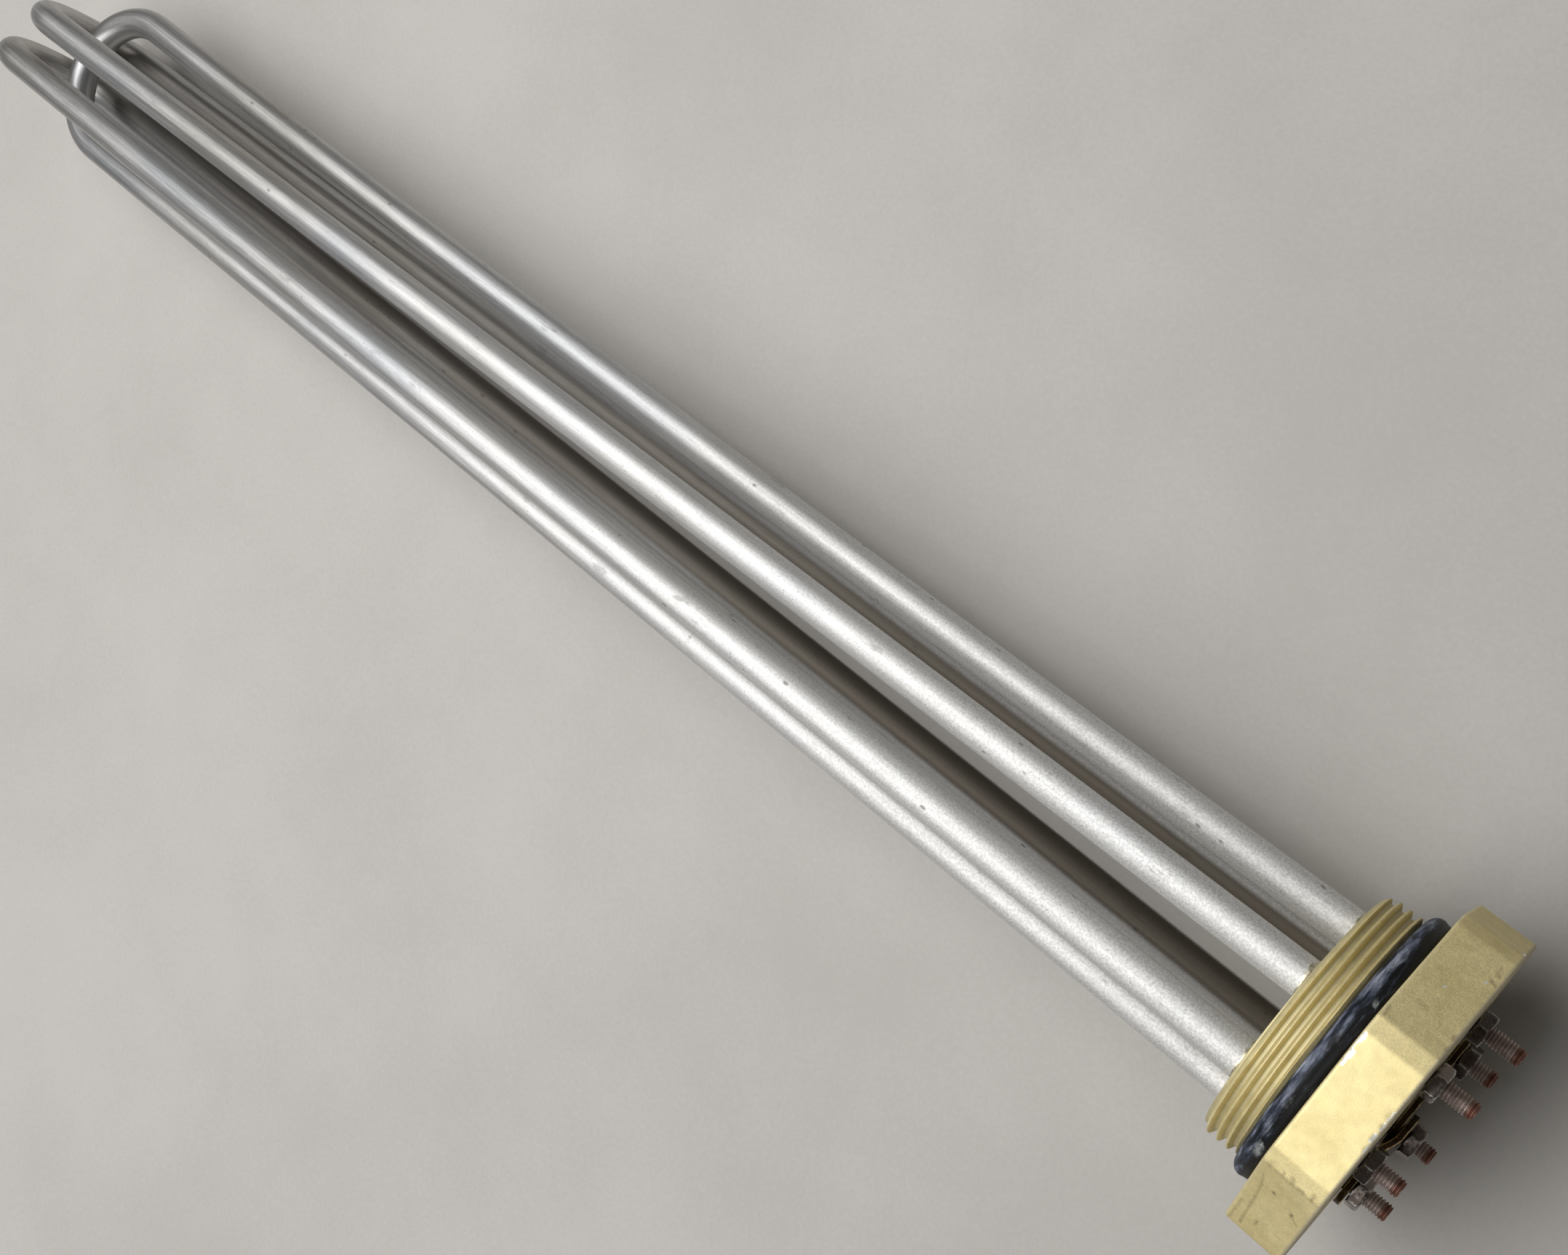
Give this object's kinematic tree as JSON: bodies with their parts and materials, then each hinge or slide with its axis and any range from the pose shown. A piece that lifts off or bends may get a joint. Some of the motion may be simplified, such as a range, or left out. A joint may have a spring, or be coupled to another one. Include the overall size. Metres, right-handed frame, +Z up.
{
  "type": "screw plug immersion heater",
  "caption": "Screw plug immersion heater: octagonal brass plug with pipe thread and rubber ring, interleaved hairpin heating tubes and star-linked threaded terminals.",
  "frame": {"origin": "centre of the plug's flat wetted face, where the tubes come out, on the plug's axis", "axes": "+X along the plug's axis from the wetted face towards the tube bends, +Z up with a flat of the octagonal head below, +Y to the side"},
  "size_m": [0.5033, 0.075, 0.075],
  "materials": {
    "brass": "matt, as cast and machined, stained",
    "black_rubber": "matt, dusty",
    "stainless_steel": "satin, drawn lengthwise",
    "magnesia": "compacted powder",
    "nichrome": "dull",
    "nickel_plated_steel": "tarnished plating",
    "steatite": "unglazed",
    "link_brass": "dull, tarnished"
  },
  "bodies": {
    "root": {"screw_plug": "brass", "seal_ring": "black_rubber", "sheath_middle": "stainless_steel", "sheath_left": "stainless_steel", "sheath_right": "stainless_steel", "magnesia_fill_middle": "magnesia", "magnesia_fill_left": "magnesia", "magnesia_fill_right": "magnesia", "resistance_coil_middle": "nichrome", "resistance_coil_left": "nichrome", "resistance_coil_right": "nichrome", "terminal_pin_1": "nickel_plated_steel", "terminal_pin_2": "nickel_plated_steel", "terminal_pin_3": "nickel_plated_steel", "terminal_pin_4": "nickel_plated_steel", "terminal_pin_5": "nickel_plated_steel", "terminal_pin_6": "nickel_plated_steel", "insulating_bush_1": "steatite", "insulating_bush_2": "steatite", "insulating_bush_3": "steatite", "insulating_bush_4": "steatite", "insulating_bush_5": "steatite", "insulating_bush_6": "steatite", "terminal_nut_1": "nickel_plated_steel", "terminal_nut_2": "nickel_plated_steel", "terminal_nut_3": "nickel_plated_steel", "terminal_nut_4": "nickel_plated_steel", "terminal_nut_5": "nickel_plated_steel", "terminal_nut_6": "nickel_plated_steel", "star_link_lower": "link_brass", "star_link_upper": "link_brass"}
  },
  "joints": []
}
